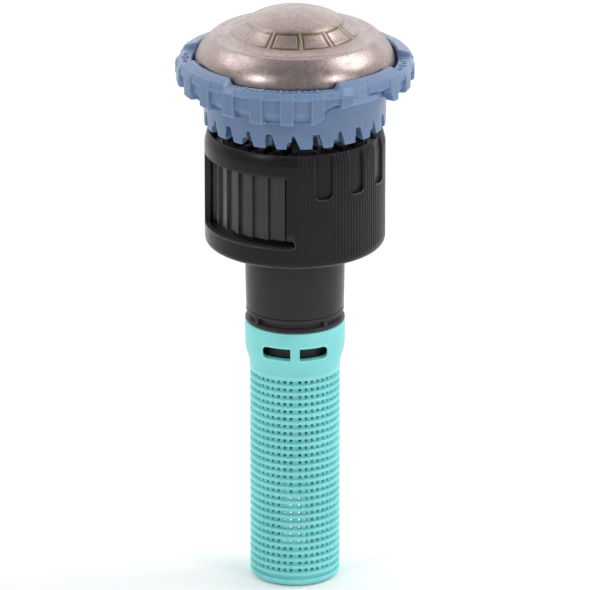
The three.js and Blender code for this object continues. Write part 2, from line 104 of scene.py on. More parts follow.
def arc(centre, radius, start, end, count=6):
    """Points of an arc in an [r, z] section, with angles in degrees from the +r direction."""
    turns = [math.radians(start + (end - start) * i / count) for i in range(count + 1)]
    return [(centre[0] + radius * math.cos(a), centre[1] + radius * math.sin(a)) for a in turns]


# ---------------------------------------------------------------- helpers: meshes


def loft(angles, section_at):
    """A closed ring of [r, z] sections, one at each angle, all with the same number of points."""
    sections = [section_at(a) for a in angles]
    count = len(sections[0])
    verts = [polar(r, a, z) for a, section in zip(angles, sections) for r, z in section]
    faces = []
    for i in range(len(angles)):
        here, there = i * count, ((i + 1) % len(angles)) * count
        for j in range(count):
            k = (j + 1) % count
            faces.append((here + j, there + j, there + k, here + k))
    return verts, faces


def revolve(section, columns=144):
    """A section turned round the axis; points on the axis itself are joined into one."""
    angles = [360 * i / columns for i in range(columns)]
    verts, faces = loft(angles, lambda angle: section)
    joined, kept, index = {}, [], []
    for v in verts:
        key = tuple(round(c, 9) for c in v)
        if key not in joined:
            joined[key] = len(kept)
            kept.append(v)
        index.append(joined[key])
    clean = []
    for f in faces:
        ring = list(dict.fromkeys(index[i] for i in f))
        if len(ring) > 2:
            clean.append(ring)
    return kept, clean


def ring(a, b, count):
    """Quads between two closed rings of points, which start at a and at b."""
    return [(a + j, a + (j + 1) % count, b + (j + 1) % count, b + j) for j in range(count)]


def curved_block(columns, inner, outer):
    """A block wrapped round the axis, from (angle, low z, high z) columns."""
    verts = []
    for angle, low, high in columns:
        for r, z in ((inner, low), (outer, low), (outer, high), (inner, high)):
            verts.append(polar(r, angle, z))
    last = 4 * (len(columns) - 1)
    faces = [(0, 3, 2, 1), (last, last + 1, last + 2, last + 3)]
    for a in range(0, last, 4):
        faces += ring(a, a + 4, 4)
    return verts, [tuple(reversed(f)) for f in faces]


NEAREST_COLUMNS = 0.04
COLUMN_PITCH = 1.5
CORNER_COLUMNS = 7
CORNER_TURN = 15


def rounded_columns(start, end, low, high, at_radius, left=0.0, right=0.0):
    """Columns of a window on a wall of that radius, with its left and right corners rounded."""
    per_degree = math.radians(1) * at_radius
    near = {start, end}
    for radius, edge, sign in ((left, start, 1), (right, end, -1)):
        for i in range(CORNER_COLUMNS if radius else 0):
            inside = 1 - math.cos(math.radians(CORNER_TURN * i))
            near.add(edge + sign * radius * inside / per_degree)
    near.update(steps(start, end, COLUMN_PITCH))
    columns = []
    for angle in sorted(near):
        if columns and angle - columns[-1][0] < NEAREST_COLUMNS:
            if angle < end:
                continue
            columns.pop()
        inset = 0.0
        for radius, edge in ((left, start), (right, end)):
            gone = radius - abs(angle - edge) * per_degree
            if gone > 0:
                inset = max(inset, radius - math.sqrt(max(radius ** 2 - gone ** 2, 0.0)))
        columns.append((angle, low + inset, high - inset))
    return columns


def bead(points, radius, sides=8):
    """A thin round bead along (radius, angle, height) points."""
    centres = [Vector(polar(*p)) for p in points]
    verts = []
    for i, centre in enumerate(centres):
        ahead = (centres[min(i + 1, len(centres) - 1)] - centres[max(i - 1, 0)]).normalized()
        out = Vector((centre.x, centre.y, 0)).normalized()
        side = ahead.cross(out).normalized()
        for j in range(sides):
            a = 2 * math.pi * j / sides
            verts.append(tuple(centre + (out * math.cos(a) + side * math.sin(a)) * radius * MM))
    faces = [tuple(reversed(range(sides))), tuple(range(len(verts) - sides, len(verts)))]
    for a in range(0, len(verts) - sides, sides):
        faces += ring(a, a + sides, sides)
    return verts, faces


def join(*parts):
    """Several (verts, faces) as one."""
    verts, faces = [], []
    for more_verts, more_faces in parts:
        base = len(verts)
        verts += more_verts
        faces += [tuple(base + i for i in f) for f in more_faces]
    return verts, faces


def new_object(name, data):
    """An object of the scene from a mesh, a light or a camera."""
    obj = bpy.data.objects.new(name, data)
    bpy.context.collection.objects.link(obj)
    return obj


def mesh_object(name, shape):
    """An object of the scene from (verts, faces)."""
    mesh = bpy.data.meshes.new(name)
    mesh.from_pydata(shape[0], [], shape[1])
    return new_object(name, mesh)


def cut(obj, cutters):
    """Cuts closed (verts, faces) shapes out of an object."""
    for shape in cutters:
        tool = mesh_object("cutter", shape)
        modifier = obj.modifiers.new("cut", "BOOLEAN")
        modifier.operation = "DIFFERENCE"
        modifier.solver = "EXACT"
        modifier.object = tool
        graph = bpy.context.evaluated_depsgraph_get()
        result = bpy.data.meshes.new_from_object(obj.evaluated_get(graph))
        obj.modifiers.clear()
        obj.data = result
        bpy.data.objects.remove(tool)


def shade(obj, angle):
    """Smooth shading that keeps the edges sharper than an angle."""
    mesh = obj.data
    mesh.polygons.foreach_set("use_smooth", [True] * len(mesh.polygons))
    mesh.set_sharp_from_angle(angle=math.radians(angle))
    mesh.update()


def store(mesh, name, values):
    """Stores one value at each point of a mesh, for its material."""
    layer = mesh.attributes.new(name, "FLOAT", "POINT")
    layer.data.foreach_set("value", values)


def mark_edges(mesh):
    """Stores at each point how sharply convex the surface is there, for its material's painted edge
    highlights.
    """
    work = bmesh.new()
    work.from_mesh(mesh)
    work.normal_update()
    bends = [max((e.calc_face_angle_signed(0.0) for e in v.link_edges), default=0.0) for v in work.verts]
    work.free()
    store(mesh, "convex", bends)


def piece(name, shape, material, body, stands_for=(), cutters=(), angle=32):
    """A finished piece: a mesh with its material, riding on a body, in place of some CAD nodes."""
    obj = mesh_object(name, shape)
    obj.data.validate()
    cut(obj, cutters)
    obj.data.name = name
    obj.data.materials.clear()
    obj.data.materials.append(material)
    shade(obj, angle)
    mark_edges(obj.data)
    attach(obj, body)
    if stands_for:
        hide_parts(*stands_for)
    return obj


# ---------------------------------------------------------------- materials


# Bends in radians: the painted edge highlight starts at the first bend and is full from the second.
EDGE_HIGHLIGHT_BENDS = (0.2, 1.3)
EDGE_HIGHLIGHT_PALER = 1.5
EDGE_HIGHLIGHT_LIFT = 0.03


class Nodes:
    """A short way to build one material's nodes around its Principled shader."""

    def __init__(self, name):
        self.material = bpy.data.materials.new(name)
        self.material.use_nodes = True
        self.tree = self.material.node_tree
        self.shader = self.tree.nodes["Principled BSDF"]
        self.place = self.add("ShaderNodeTexCoord").outputs["Object"]

    def add(self, kind, links=None, **values):
        node = self.tree.nodes.new(kind)
        for key, value in values.items():
            setattr(node, key, value)
        for socket, source in (links or {}).items():
            self.feed(node.inputs[socket], source)
        return node

    def feed(self, socket, source):
        if isinstance(source, bpy.types.NodeSocket):
            self.tree.links.new(source, socket)
        else:
            socket.default_value = source

    def set(self, **values):
        """Feeds the shader's own sockets, each from a value or another node's socket."""
        for key, value in values.items():
            self.feed(self.shader.inputs[key.replace("_", " ")], value)

    def noise(self, scale, detail=3.0, roughness=0.55, stretch=None):
        place = self.place
        if stretch:
            place = self.add("ShaderNodeMapping", {"Vector": place, "Scale": stretch}).outputs[0]
        links = {"Vector": place, "Scale": scale, "Detail": detail, "Roughness": roughness}
        return self.add("ShaderNodeTexNoise", links).outputs["Fac"]

    def ramp(self, source, stops):
        """A colour between two (position, colour) stops."""
        node = self.add("ShaderNodeValToRGB", {"Fac": source})
        for element, (position, colour) in zip(node.color_ramp.elements, stops):
            element.position = position
            element.color = (*colour, 1.0)
        return node.outputs["Color"]

    def range(self, source, low, high, to_low, to_high):
        links = {"Value": source, "From Min": low, "From Max": high, "To Min": to_low, "To Max": to_high}
        return self.add("ShaderNodeMapRange", links).outputs["Result"]

    def mix(self, factor, one, colour):
        links = {"Factor": factor, 6: one, 7: (*colour, 1.0)}
        return self.add("ShaderNodeMix", links, data_type="RGBA").outputs[2]

    def product(self, one, other):
        return self.add("ShaderNodeMath", {0: one, 1: other}, operation="MULTIPLY").outputs[0]

    def attribute(self, name):
        return self.add("ShaderNodeAttribute", attribute_name=name).outputs["Fac"]

    def bump(self, height, strength, distance, after=None):
        links = {"Height": height, "Strength": strength, "Distance": distance}
        if after:
            links["Normal"] = after
        return self.add("ShaderNodeBump", links).outputs["Normal"]

    def edges(self):
        """0 on smooth surfaces and 1 on sharp convex edges."""
        return self.range(self.attribute("convex"), *EDGE_HIGHLIGHT_BENDS, 0.0, 1.0)


def plastic(name, dark, light, roughness, edge_highlight=0.25, soft=0.0, gloss=0.4, bloom=0.0):
    """Moulded plastic: slow colour drift, a fine moulded grain, sharp edges painted paler as a painted
    highlight, and uneven gloss.
    """
    n = Nodes(name)
    drift = n.noise(140.0, 4.0)
    colour = n.ramp(drift, [(0.35, dark), (0.65, light)])
    # Sharp convex edges are painted paler: a painted highlight where light would catch them.
    highlight_colour = tuple(min(1.0, c * EDGE_HIGHLIGHT_PALER + EDGE_HIGHLIGHT_LIFT) for c in light)
    painted_edge_highlight = n.product(n.edges(), edge_highlight)
    colour = n.mix(painted_edge_highlight, colour, highlight_colour)
    scuffs = n.noise(600.0, 5.0, 0.7, (1.0, 1.0, 0.35))
    rough = n.range(scuffs, 0.3, 0.7, roughness - 0.07, roughness + 0.09)
    fine = n.bump(n.noise(9000.0, 2.0), 0.35, 0.000012)
    wavy = n.bump(n.noise(260.0, 2.0), 0.25, 0.00003, fine)
    n.set(Base_Color=colour, Roughness=rough, Normal=wavy, IOR=1.5, Specular_IOR_Level=gloss)
    if soft:
        n.set(Subsurface_Weight=soft, Subsurface_Scale=0.0012, Subsurface_Radius=(0.4, 1.0, 0.9))
    if bloom:
        n.set(Sheen_Weight=bloom, Sheen_Roughness=0.3, Sheen_Tint=(1.0, 0.9, 0.98, 1.0))
    return n.material


def steel_cap():
    """Tumbled stainless: mottled grey-brown, fine speckle and dark pits, brown stains and etched brown
    lines, uneven roughness and small dents.
    """
    n = Nodes("tumbled_stainless")
    blotch = n.noise(230.0, 5.0, 0.62)
    speckle = n.noise(2600.0, 3.0, 0.6)
    pits = n.noise(3600.0, 2.0, 0.5)
    colour = n.ramp(blotch, [(0.32, (0.31, 0.242, 0.232)), (0.68, (0.415, 0.335, 0.322))])
    dots = n.range(speckle, 0.35, 0.7, 0.0, 0.45)
    colour = n.mix(dots, colour, (0.45, 0.405, 0.39))
    colour = n.mix(n.range(pits, 0.56, 0.7, 0.0, 0.6), colour, (0.17, 0.13, 0.115))
    stain = n.product(n.attribute("near_etch"), n.range(blotch, 0.4, 0.6, 0.25, 0.6))
    colour = n.mix(stain, colour, (0.30, 0.225, 0.16))
    line = n.product(n.attribute("etch"), 0.75)
    colour = n.mix(line, colour, (0.10, 0.066, 0.038))
    rough = n.range(n.noise(900.0, 4.0, 0.7), 0.3, 0.7, 0.24, 0.42)
    fine = n.bump(n.noise(3800.0, 3.0, 0.6), 0.5, 0.00002)
    dents = n.bump(n.noise(420.0, 3.0, 0.5), 0.35, 0.00006, fine)
    n.set(Base_Color=colour, Roughness=rough, Normal=dents, Metallic=1.0)
    return n.material


def drawn_metal(name, dark, light, roughness):
    """Drawn or turned metal: fine rings round the axis and a slight tarnish."""
    n = Nodes(name)
    tarnish = n.ramp(n.noise(500.0, 4.0, 0.6), [(0.35, dark), (0.65, light)])
    lines = n.noise(700.0, 3.0, 0.6, (1.0, 1.0, 14.0))
    rough = n.range(lines, 0.3, 0.7, roughness - 0.06, roughness + 0.1)
    n.set(Base_Color=tarnish, Roughness=rough, Normal=n.bump(lines, 0.2, 0.00001), Metallic=1.0)
    return n.material


def rubber():
    """Matt black rubber with a dusty bloom."""
    n = Nodes("seal_rubber")
    dust = n.noise(800.0, 5.0, 0.7)
    colour = n.ramp(dust, [(0.4, (0.011, 0.011, 0.012)), (0.75, (0.03, 0.03, 0.032))])
    grain = n.bump(n.noise(5000.0, 2.0), 0.4, 0.00001)
    n.set(Base_Color=colour, Roughness=n.range(dust, 0.3, 0.7, 0.62, 0.85), Normal=grain)
    return n.material


def white_floor():
    """The studio floor: near-white paper with the faintest fibre."""
    n = Nodes("floor_paper")
    fibre = n.noise(900.0, 4.0, 0.7)
    colour = n.ramp(fibre, [(0.3, (0.93, 0.93, 0.93)), (0.7, (0.955, 0.955, 0.955))])
    grain = n.bump(fibre, 0.05, 0.00002)
    n.set(Base_Color=colour, Normal=grain, Roughness=0.9, Specular_IOR_Level=0.1)
    return n.material


# Sharp edges of these mouldings get a painted highlight, strongest on the blue ring's pads.
BLUE = plastic("blue_moulding", (0.100, 0.168, 0.300), (0.120, 0.190, 0.328), 0.3,
               edge_highlight=0.8, soft=0.05, gloss=0.5)
BLACK = plastic("black_moulding", (0.0079, 0.0060, 0.0086), (0.0115, 0.0089, 0.0124), 0.34,
                edge_highlight=0.5, gloss=0.17, bloom=0.5)
CHARCOAL = plastic("charcoal_moulding", (0.0192, 0.0170, 0.0208), (0.0248, 0.0224, 0.0268), 0.34,
                   edge_highlight=0.3, gloss=0.2, bloom=0.45)
GLOSS_BLACK = plastic("polished_black", (0.0085, 0.0076, 0.0092), (0.012, 0.011, 0.0128), 0.2,
                      edge_highlight=0.0, gloss=0.45)
DRUM_BLACK = plastic("drum_moulding", (0.0188, 0.0170, 0.0208), (0.0247, 0.0226, 0.0270), 0.3,
                     edge_highlight=0.5, gloss=0.24)
TEAL = plastic("teal_moulding", (0.194, 0.626, 0.622), (0.237, 0.698, 0.690), 0.42, soft=0.2)
NATURAL = plastic("natural_moulding", (0.60, 0.585, 0.54), (0.68, 0.665, 0.62), 0.4, soft=0.15)
STEEL = drawn_metal("drawn_steel", (0.42, 0.43, 0.45), (0.58, 0.59, 0.6), 0.26)
SPRING_STEEL = drawn_metal("spring_wire", (0.20, 0.20, 0.21), (0.3, 0.3, 0.31), 0.32)
BRASS = drawn_metal("turned_brass", (0.55, 0.38, 0.14), (0.66, 0.48, 0.2), 0.3)
RUBBER = rubber()
CAP_STEEL = steel_cap()

# ---------------------------------------------------------------- turret: deflector and cap

GRIP_R, CROWN_FOOT, _ = span("deflector")
CAP_R, CAP_FOOT, CAP_APEX = span("cap")
HUB_FOOT = CROWN_FOOT + 1.1
HUB_TOP = CAP_FOOT + 2.6
SKIRT_FOOT = CROWN_FOOT + 0.55
BAND_TOP = CAP_FOOT + 0.9
BAND_BORE = CAP_R + 0.3
GRIP_COUNT = 24
FIRST_GRIP = -4.0
GRIP_HALF = 3.45
GRIP_PROUD = 0.42
GRIP_EASE = 0.5
PANEL_SCOOP = 0.75
BAND_BEVEL = 0.5
WALL_RISE = 0.8
WALL_OUTER_RISE = 0.4
WALL_SEGMENTS = [(21.8, 67.0), (92.0, 137.0), (210.0, 255.0), (282.0, 323.5)]
WALL_RAMP = 3.0
BAND_FEET = [
    (-128.0, 68.7), (-123.5, 67.2), (-119.0, 67.05), (-110.0, 67.5), (-90.0, 68.0), (-62.0, 67.05),
    (-41.0, 66.6), (-16.0, 66.1), (7.0, 66.1), (22.0, 67.9), (38.0, 69.2), (47.0, 69.1), (52.0, 68.7),
]


def band_foot(angle):
    """The band's lower edge: deep at the front and back, arched beside each."""
    first = BAND_FEET[0][0]
    return eased(BAND_FEET, (angle - first) % 180.0 + first)


def wall_rise(angle):
    """How far the band's rim is raised at an angle, from 0 to 1."""
    rise = 0.0
    for start, end in WALL_SEGMENTS:
        middle, half = (start + end) / 2, (end - start) / 2
        inside = half - abs(turn(middle, angle))
        rise = max(rise, smooth(inside / WALL_RAMP + 0.15))
    return rise


def band_section(angle):
    """The grip band's section at an angle: pads stand proud, and the panels between them scoop inwards."""
    off = abs(turn(0.0, (angle - FIRST_GRIP) * GRIP_COUNT)) / GRIP_COUNT
    pad = 1.0 - smooth((off - GRIP_HALF + 0.35) / GRIP_EASE)
    foot = band_foot(angle)
    rise = wall_rise(angle)
    outer = GRIP_R
    panel = outer - GRIP_PROUD
    edge = BAND_TOP - BAND_BEVEL
    top_outer = BAND_TOP + WALL_OUTER_RISE * rise
    top_inner = BAND_TOP + WALL_RISE * rise
    rim_in = BAND_BORE + 0.25
    section = [
        (BAND_BORE + 0.3, foot + 1.0), (BAND_BORE + 0.6, foot + 0.25), (outer - 1.35, foot),
        (outer - 0.25 - PANEL_SCOOP * (1 - pad), foot),
    ]
    for part in (0.0, 0.12, 0.25, 0.4, 0.55, 0.7, 0.85, 1.0):
        z = foot + 0.22 + (edge - 0.55 - foot - 0.22) * part
        scoop = PANEL_SCOOP * (1 - smooth(part / 0.45))
        r = panel - scoop
        section.append((r + (outer - r) * pad, z))
    return section + [
        (panel + 0.22 + (GRIP_PROUD - 0.22) * pad, edge - 0.35),
        (panel + 0.24 + (GRIP_PROUD - 0.24) * pad, edge),
        (outer - BAND_BEVEL + 0.04 - 0.05 * (1 - pad), top_outer - 0.04),
        (outer - BAND_BEVEL - 0.12, top_outer), (rim_in + 0.08, top_inner), (rim_in - 0.1, top_inner - 0.04),
        (BAND_BORE, top_inner - 0.3), (BAND_BORE, BAND_TOP - 1.4),
    ]


def fine_angles(pitch, extra=()):
    """Evenly spaced angles round the circle, with some exact ones added."""
    angles = {round(i * pitch, 4) for i in range(int(360 / pitch))}
    angles.update(round(a % 360, 4) for a in extra)
    return sorted(angles)


SKIRT_R = 11.6
SKIRT_BORE = 10.1
WEB_FOOT = BAND_TOP - 2.6
CHANNELS = 24
CHANNEL_PITCH = 360 / CHANNELS
FIRST_CHANNEL = -1.0
CHANNEL_TOP = 1.85
CHANNEL_STEP = 0.95
CHANNEL_RIGHT = 4.4
PLAIN_LEFT = -3.2
STEPPED_LEFT = -4.6
STEP_AT = -1.2
SPIKED_CREST = 0.3
FLAT_CREST = 1.3


def skirt_foot(angle):
    """The skirt's toothed lower edge: plain and stepped channels in turn, every fourth one spiked."""
    number = round((angle - FIRST_CHANNEL) / CHANNEL_PITCH)
    local = angle - FIRST_CHANNEL - number * CHANNEL_PITCH
    if local >= CHANNEL_RIGHT:
        return SKIRT_FOOT
    crest = SPIKED_CREST if number % 4 == 0 else FLAT_CREST
    slant = max(0.0, min(1.0, (CHANNEL_RIGHT - local) / (CHANNEL_RIGHT - crest)))
    if number % 2:
        rise = CHANNEL_TOP * smooth((local - PLAIN_LEFT) / 0.6)
    elif local < STEP_AT:
        rise = CHANNEL_STEP * smooth((local - STEPPED_LEFT) / 0.9)
    else:
        rise = CHANNEL_STEP + (CHANNEL_TOP - CHANNEL_STEP) * smooth((local - STEP_AT) / 0.4)
    return SKIRT_FOOT + min(rise, CHANNEL_TOP * slant)


def skirt_section(angle):
    """The skirt's section: a thin wall with a small chamfer at its toothed edge."""
    foot = skirt_foot(angle)
    return [
        (SKIRT_BORE, foot + 0.3), (SKIRT_R - 0.5, foot), (SKIRT_R - 0.12, foot), (SKIRT_R, foot + 0.12),
        (SKIRT_R, foot + 0.3), (SKIRT_R, WEB_FOOT - 1.2), (SKIRT_R + 0.08, WEB_FOOT - 0.5),
        (SKIRT_R + 0.5, WEB_FOOT), (SKIRT_R + 0.5, WEB_FOOT + 0.1), (SKIRT_BORE, WEB_FOOT + 0.1),
    ]


HUB_BORE = 3.1
HUB_R = 7.5
HUB_FLANGE_R = 8.8
HUB_FLOOR = 1.2
GREASE_R = 6.3
WEB_THICK = 1.3


def deflector_core():
    """The turned parts of the deflector: the web under the cap, the grease hub and the channel roof."""
    low, floor = HUB_FOOT, HUB_FOOT + HUB_FLOOR
    web_r, web_top = BAND_BORE + 0.5, WEB_FOOT + WEB_THICK
    return revolve([
        (HUB_BORE, low), (HUB_FLANGE_R - 0.2, low), (HUB_FLANGE_R, low + 0.2), (HUB_FLANGE_R, low + 0.9),
        (HUB_R + 0.2, low + 1.3), (HUB_R, low + 2.2), (HUB_R + 0.3, WEB_FOOT - 0.4),
        (HUB_R + 0.9, WEB_FOOT), (web_r, WEB_FOOT), (web_r, web_top), (HUB_R + 0.3, web_top),
        (HUB_R, web_top + 0.3), (HUB_R, HUB_TOP), (GREASE_R, HUB_TOP), (GREASE_R, floor), (HUB_BORE, floor),
    ])


FIN_INNER = 8.3
FIN_OUTER = SKIRT_BORE + 0.1
FIN_FOOT = SKIRT_FOOT + 0.75
FIN_HALF = 0.55
FIN_BEND = 2.0
FIN_PARTS = 4


def channel_fins():
    """The curved fins that split the water into streams under the deflector's web."""
    parts = []
    side_count = 2 * (FIN_PARTS + 1)
    for number in range(CHANNELS):
        middle = (number + 0.5) * CHANNEL_PITCH + FIRST_CHANNEL
        verts = []
        for side in (-FIN_HALF, FIN_HALF):
            for i in range(FIN_PARTS + 1):
                r = FIN_INNER + (FIN_OUTER - FIN_INNER) * i / FIN_PARTS
                bend = FIN_BEND * ((i / FIN_PARTS) ** 2 - 0.5)
                for z in (FIN_FOOT, WEB_FOOT + OVERLAP):
                    verts.append(polar(r, middle + bend + side, z))
        last = side_count - 2
        faces = [(0, side_count, side_count + 1, 1)]
        faces.append((last, last + 1, side_count + last + 1, side_count + last))
        for i in range(FIN_PARTS):
            a, b = 2 * i, 2 * i + 2
            c, d = side_count + a, side_count + b
            faces += [(a, a + 1, b + 1, b), (c, d, d + 1, c + 1)]
            faces += [(a, b, d, c), (a + 1, c + 1, d + 1, b + 1)]
        parts.append((verts, faces))
    return join(*parts)


CROWN_RADII = (7.6, 8.7)
CROWN_TOOTH = ((-3.3, 0.25), (-2.6, 0.0), (0.0, 0.0), (2.6, 0.0), (3.3, 0.25))


def crown_teeth():
    """The small teeth under the hub that drop between the arc valve's teeth when the turret is pressed."""
    parts = []
    for number in range(CHANNELS):
        middle = (number + 0.5) * CHANNEL_PITCH
        head = HUB_FOOT + 2 * OVERLAP
        columns = [(middle + off, CROWN_FOOT + lift, head) for off, lift in CROWN_TOOTH]
        parts.append(curved_block(columns, *CROWN_RADII))
    return join(*parts)


TICK_ROWS = ((-7.4, 13), (78.0, 5), (268.0, 5), (173.0, 13))
TICK_PITCH = 3.2
TICK_HALF = 0.55
TICK_RISE = 0.13
LONG_TICK = (0.45, 0.3)
SHORT_TICK = (0.7, 0.5)


def ledge_marks():
    """Plain raised ticks on the lowered ledges: every third one is long."""
    parts = []
    low, high = BAND_TOP - OVERLAP, BAND_TOP + TICK_RISE
    for middle, count in TICK_ROWS:
        for number in range(count):
            angle = middle + (number - (count - 1) / 2) * TICK_PITCH
            from_bore, from_rim = LONG_TICK if number % 3 == (count // 2) % 3 else SHORT_TICK
            columns = [(angle - TICK_HALF, low, high), (angle + TICK_HALF, low, high)]
            parts.append(curved_block(columns, BAND_BORE + from_bore, GRIP_R - BAND_BEVEL - from_rim))
    return join(*parts)


piece("deflector_band", loft(fine_angles(0.5), band_section), BLUE, "turret",
      ["deflector"], angle=28)
piece("deflector_skirt", loft(fine_angles(0.25), skirt_section), BLUE, "turret", angle=30)
for name, shape in (("deflector_core", deflector_core()), ("deflector_fins", channel_fins()),
                    ("deflector_ledge_marks", ledge_marks()), ("deflector_crown", crown_teeth())):
    piece(name, shape, BLUE, "turret")

CAP_OUTLINE = [
    (0.0, 0.0), (1.6, -0.08), (3.2, -0.34), (4.8, -0.86), (5.6, -1.22), (6.2, -1.62), (6.8, -2.08),
    (7.4, -2.52), (8.0, -2.88), (8.6, -3.16), (9.2, -3.34), (9.8, -3.4), (10.3, -3.4), (10.6, -3.56),
    (11.2, -4.08), (11.8, -4.74), (12.2, -5.3), (12.5, -5.9), (12.66, -6.4), (12.7, -6.9),
]
CAP_UNDERSIDE = [(10.8, 71.8), (8.6, 72.9), (5.0, 74.5), (0.3, 75.95)]
CAP_LOWER = [
    *((r, CAP_APEX + drop) for r, drop in CAP_OUTLINE[-2:]),
    (CAP_R, CAP_FOOT), (CAP_R - 0.8, CAP_FOOT), (CAP_R - 0.85, CAP_FOOT + 0.8), *CAP_UNDERSIDE,
]
ETCH_COUNT = 12
ETCH_FIRST = -9.5
ETCH_HALF = 12.4
ETCH_RADII = (6.15, 8.05)
ETCH_LINE = 0.1
ETCH_DEPTH = 0.045
ETCH_STAIN = (0.15, 0.5)
ETCH_CRISP = 20.0
ETCH_CRISP_HALF = 42.0
ETCH_FADE = 22.0
ETCH_RUBBED = 0.3
CAP_NET = ((0.25, 5.9, 0.35), (6.0, 8.5, 0.09), (8.65, 12.5, 0.16))


def cap_height(r):
    """The cap's surface height at a radius, by a smooth curve through its outline's points."""
    outline = CAP_OUTLINE
    places = [p[0] for p in outline[:-1]]
    i = min(max(bisect.bisect_right(places, r) - 1, 0), len(places) - 2)

    def slope(k):
        if k == 0:
            return 0.0
        (r0, z0), (r1, z1) = outline[k - 1], outline[min(k + 1, len(places) - 1)]
        return (z1 - z0) / (r1 - r0)

    (r0, z0), (r1, z1) = outline[i], outline[i + 1]
    width = r1 - r0
    t = (r - r0) / width
    h00, h10 = 2 * t ** 3 - 3 * t ** 2 + 1, t ** 3 - 2 * t ** 2 + t
    h01, h11 = -2 * t ** 3 + 3 * t ** 2, t ** 3 - t ** 2
    return CAP_APEX + h00 * z0 + h10 * width * slope(i) + h01 * z1 + h11 * width * slope(i + 1)


def etch_at(angle, r):
    """How deep in an etched frame's line a point of the cap lies, and how near a frame it is."""
    local = turn(ETCH_FIRST, angle) % (360 / ETCH_COUNT)
    local = min(local, 360 / ETCH_COUNT - local)
    across = (ETCH_HALF - local) * math.radians(1) * r
    low, high = ETCH_RADII
    along = min(r - low, high - r)
    edge = min(across, along)
    rubbed = smooth((abs(turn(ETCH_CRISP, angle)) - ETCH_CRISP_HALF) / ETCH_FADE)
    left = 1.0 - (1.0 - ETCH_RUBBED) * rubbed
    line = left * (1.0 - smooth((abs(edge) - ETCH_LINE) / ETCH_LINE))
    stain, spread = ETCH_STAIN
    return line, left * (1.0 - smooth((abs(edge) - stain) / spread))


def cap_piece():
    """The pressed stainless cap: a fine polar net, so that the etched frames are real grooves."""
    radii = [r for start, end, pitch in CAP_NET for r in steps(start, end, pitch)]
    angles = fine_angles(0.5)
    plain = (0.0, 0.0)
    verts, marks = [], []
    for angle in angles:
        for r in radii:
            line, near = etch_at(angle, r)
            marks.append((line, near))
            verts.append(polar(r, angle, cap_height(r) - ETCH_DEPTH * line))
        marks += [plain] * len(CAP_LOWER)
        verts += [polar(r, angle, z) for r, z in CAP_LOWER]
    count = len(radii) + len(CAP_LOWER)
    pairs = [(i * count, (i + 1) % len(angles) * count) for i in range(len(angles))]
    faces = [(a + j, a + j + 1, b + j + 1, b + j) for a, b in pairs for j in range(count - 1)]
    top, under = len(verts), len(verts) + 1
    verts += [polar(0, 0, CAP_APEX), polar(0, 0, CAP_LOWER[-1][1])]
    marks += [plain] * 2
    for a, b in pairs:
        faces += [(top, a, b), (under, b + count - 1, a + count - 1)]
    cap = piece("cap_shell", (verts, faces), CAP_STEEL, "turret", ["cap"], angle=40)
    for name, values in zip(("etch", "near_etch"), zip(*marks)):
        store(cap.data, name, values)


cap_piece()

# ---------------------------------------------------------------- body: cover, ring, neck, screen

COVER_R, COVER_FOOT, COVER_TOP = span("nozzle_cover")
PER_DEGREE = math.radians(1) * COVER_R
COVER_BORE = 10.9
COVER_ROUND = 0.9
COVER_CHAMFER = (0.43, 1.3)
FLOOR_BORE = 9.3
FLOOR_DROP = 0.35
FLUTE_PITCH = 2.45
FLUTE_DEPTH = 0.085
FLUTE_SPAN = (2.0, 88.0)
POCKET_ANGLES = (18.7, 43.2, 68.2)
POCKET_HALF = 1.18
POCKET_DEPTH = 0.43
POCKET_FOOT = COVER_TOP - 5.9
POCKET_CORNER = 0.55
POCKET_EDGE = 0.16
WINDOW = (-86.0, -5.2)
WINDOW_Z = (COVER_FOOT + 2.8, COVER_TOP - 2.8)
WINDOW_CORNER = 0.35
WINDOW_FOOT_END = 0.4
WINDOW_FOOT_RISE = 1.2


def pocket_depth(angle, z):
    """How deep the grip pockets are at a point of the cover."""
    deepest = 0.0
    down = z - POCKET_FOOT
    for middle in POCKET_ANGLES:
        across = POCKET_HALF - abs(turn(middle, angle) * PER_DEGREE)
        if max(across, down) < POCKET_CORNER:
            inside = POCKET_CORNER - math.hypot(POCKET_CORNER - across, POCKET_CORNER - down)
        else:
            inside = min(across, down)
        deepest = max(deepest, smooth(inside / POCKET_EDGE + 0.5))
    return deepest


def cover_radius(angle, z):
    """The cover's outer radius with its flutes and pockets; both sides of the nozzle are alike."""
    local = (angle + 90.0) % 180.0 - 90.0
    r = COVER_R
    start, end = FLUTE_SPAN
    inside = min(local - start, end - local)
    pocket = pocket_depth(local, z)
    if inside > 0:
        phase = ((local - start) / FLUTE_PITCH) % 1.0
        groove = max(0.0, 1.0 - abs(phase - 0.5) / 0.28)
        fade = smooth(inside / 1.5) * smooth((z - COVER_FOOT - 0.9) / 0.3) * (1 - pocket)
        r -= FLUTE_DEPTH * groove * fade
    return r - POCKET_DEPTH * pocket


